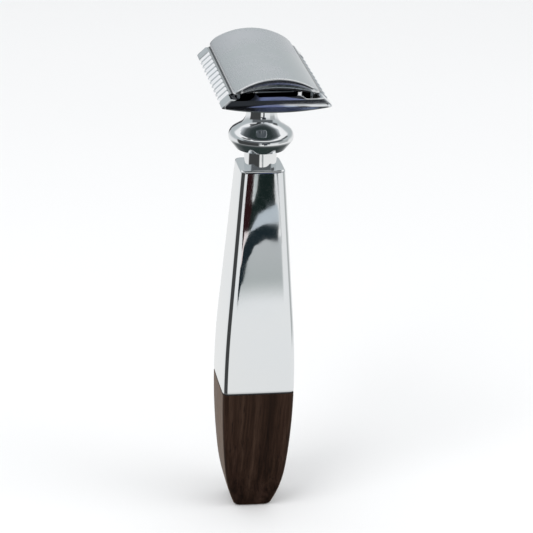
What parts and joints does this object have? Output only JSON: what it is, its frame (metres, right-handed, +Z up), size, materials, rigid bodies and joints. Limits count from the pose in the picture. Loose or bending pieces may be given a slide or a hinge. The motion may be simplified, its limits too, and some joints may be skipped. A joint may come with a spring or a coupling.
{
  "type": "safety razor",
  "caption": "Three-piece double-edge safety razor: arched cap, blade and scalloped guard plate over a collared square metal handle with a wood-look tail.",
  "frame": {"origin": "centre of the tail block's flat foot, on the handle's long axis", "axes": "+Z up the handle towards the head, Y along the head's length, shaving edges face -X and +X"},
  "size_m": [0.0256, 0.0428, 0.1167],
  "materials": {
    "satin_chrome": "satin chrome plate over cast zinc alloy",
    "bright_chrome": "polished chrome plate",
    "blade_steel": "ground stainless steel with polished edges",
    "stud_steel": "turned and threaded, nickel plated",
    "brass": "turned, unplated",
    "seal_rubber": "thin black seal",
    "tail_wood": "dark straight-grained wood-look resin, satin"
  },
  "bodies": {
    "handle": {"neck_collar": "bright_chrome", "shaft": "bright_chrome", "joint_seal": "seal_rubber", "tail_block": "tail_wood", "tie_rod": "stud_steel", "tail_insert": "brass"},
    "plate": {"base_plate": "bright_chrome"},
    "blade": {"blade": "blade_steel"},
    "cap": {"top_cap": "satin_chrome", "cap_stud": "stud_steel", "locating_pins": "stud_steel"}
  },
  "joints": [
    {"name": "head_turn", "type": "hinge", "parent": "handle", "child": "plate", "pos_m": [0, 0, 0.1082], "axis": [0, 0, 1], "range_deg": [0, 2880]},
    {"name": "cap_lift", "type": "slide", "parent": "plate", "child": "cap", "axis": [0, 0, 1], "range_m": [0, 0.0064]},
    {"name": "blade_lift", "type": "slide", "parent": "plate", "child": "blade", "axis": [0, 0, 1], "range_m": [0, 0.0032]}
  ],
  "couplings": [
    {"joint": "cap_lift", "follows": "head_turn", "m_per_rad": 0.00012732},
    {"joint": "blade_lift", "follows": "head_turn", "m_per_rad": 0.000063662}
  ]
}
